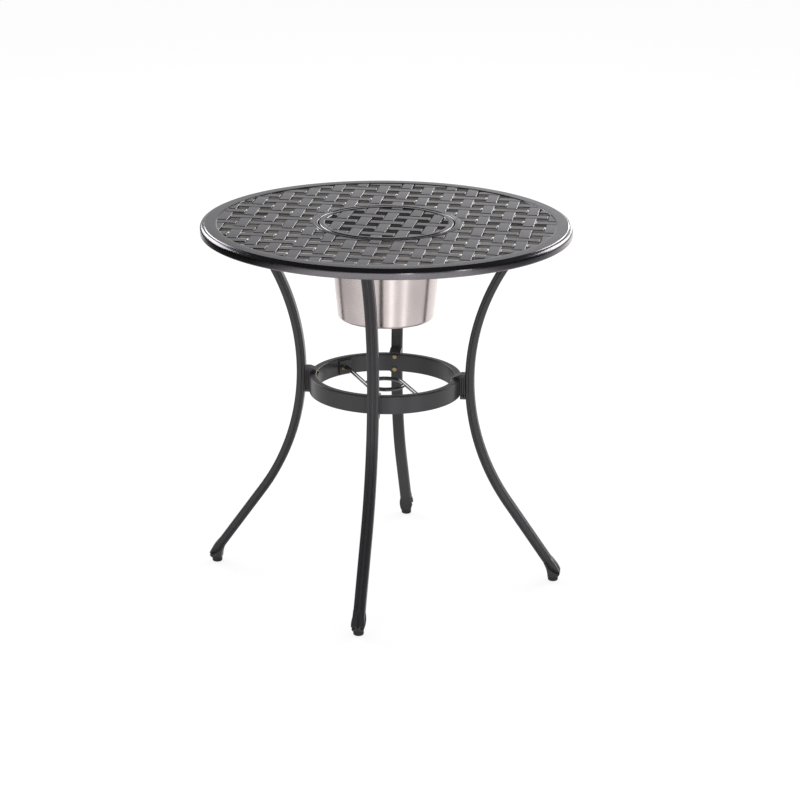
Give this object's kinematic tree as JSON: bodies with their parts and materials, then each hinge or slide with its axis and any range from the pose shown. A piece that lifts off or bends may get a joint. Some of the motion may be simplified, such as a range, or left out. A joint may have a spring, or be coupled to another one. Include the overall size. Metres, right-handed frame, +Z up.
{
  "type": "bistro table",
  "caption": "Round cast metal bistro table with a basket-weave grille top, bowed legs joined by a ring, and a lidded steel ice bucket set in the middle.",
  "frame": {"origin": "on the floor below the centre of the table", "axes": "+Z up through the centre of the top; the legs stand on +X, +Y, -X and -Y"},
  "size_m": [0.711, 0.711, 0.711],
  "materials": {
    "cast_top": "pewter-grey powder coat with fine darker speckle, satin",
    "cast_frame": "dark pewter powder coat, satin",
    "bucket_steel": "brushed stainless sheet",
    "rod_steel": "dark gloss coat on round steel rod",
    "glide_nylon": "black moulded nylon",
    "zinc_bolt": "yellow zinc plate"
  },
  "bodies": {
    "table": {"table_top": "cast_top", "leg_right": "cast_frame", "leg_back": "cast_frame", "leg_left": "cast_frame", "leg_front": "cast_frame", "foot_right": "cast_frame", "foot_back": "cast_frame", "foot_left": "cast_frame", "foot_front": "cast_frame", "glide_right": "glide_nylon", "glide_back": "glide_nylon", "glide_left": "glide_nylon", "glide_front": "glide_nylon", "leg_plate_right": "cast_frame", "leg_plate_back": "cast_frame", "leg_plate_left": "cast_frame", "leg_plate_front": "cast_frame", "stretcher_ring": "cast_frame", "ring_bracket_right": "cast_frame", "ring_bracket_back": "cast_frame", "ring_bracket_left": "cast_frame", "ring_bracket_front": "cast_frame", "guide_rod_a": "rod_steel", "guide_rod_b": "rod_steel", "guide_tab_a": "cast_frame", "guide_tab_b": "cast_frame", "leg_plate_bolts": "zinc_bolt", "ring_bolts": "zinc_bolt", "tab_bolts": "zinc_bolt"},
    "ice_bucket": {"ice_bucket": "bucket_steel"},
    "lid": {"lid": "cast_top"}
  },
  "joints": [
    {"name": "bucket_lift", "type": "slide", "parent": "table", "child": "ice_bucket", "axis": [0, 0, 1], "range_m": [0, 0.25]},
    {"name": "lid_lift", "type": "slide", "parent": "ice_bucket", "child": "lid", "axis": [0, 0, 1], "range_m": [0, 0.15]}
  ]
}
